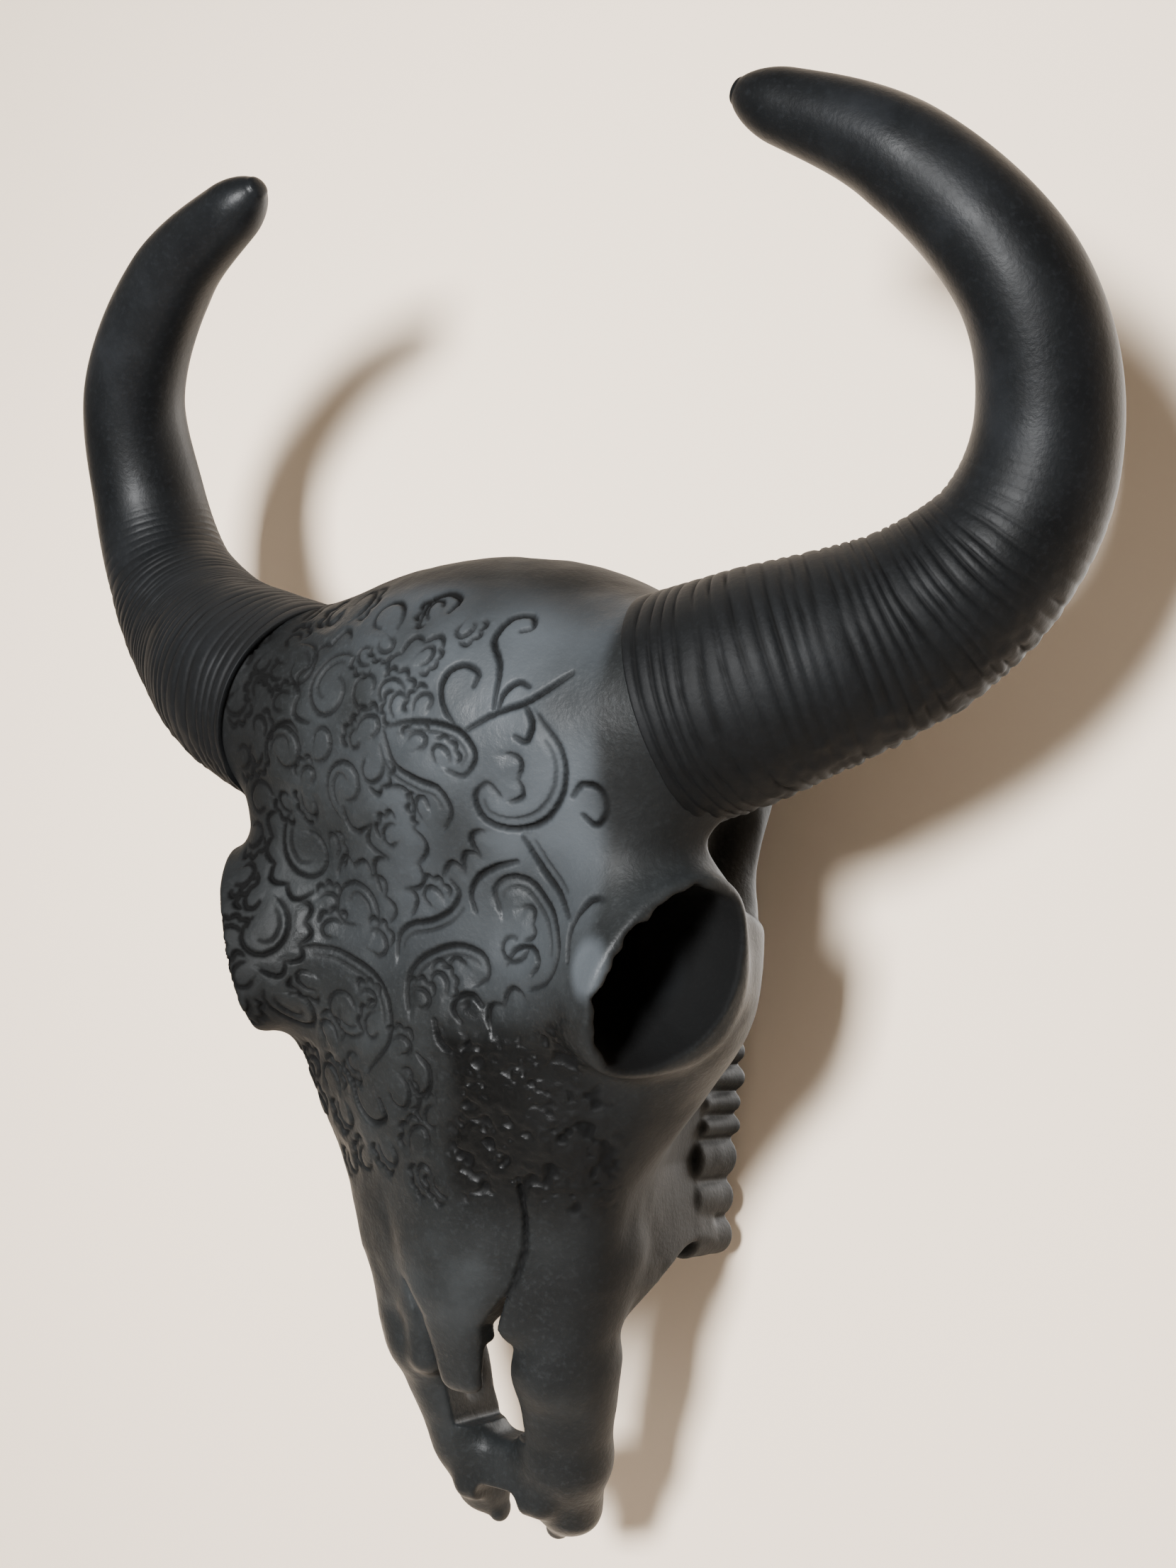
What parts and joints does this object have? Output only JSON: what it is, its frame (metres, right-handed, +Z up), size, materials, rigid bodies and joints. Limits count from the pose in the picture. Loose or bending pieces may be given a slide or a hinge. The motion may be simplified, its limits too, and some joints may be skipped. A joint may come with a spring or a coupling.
{
  "type": "horned skull wall decoration",
  "caption": "Life-size black bison-type skull with upswept horns and scroll carving on the forehead, a still wall decoration that bears on the wall with a flat pad behind the braincase.",
  "frame": {"origin": "on the wall plane, on the flat pad behind the braincase", "axes": "+Z up the wall towards the horn tips, +Y into the wall, +X to the viewer's right"},
  "size_m": [0.6322, 0.2639, 0.7176],
  "materials": {
    "bone": "satin black paint with a dusty grey bloom over carved casting",
    "face": "matte to satin black, pitted, with glossy patches",
    "horn": "smooth satin black, ringed near the base"
  },
  "bodies": {
    "root": {"cranium": "bone", "upper_jaw": "face", "nasal_bones": "face", "premaxillae": "face", "horn_left": "horn", "horn_right": "horn"}
  },
  "joints": []
}
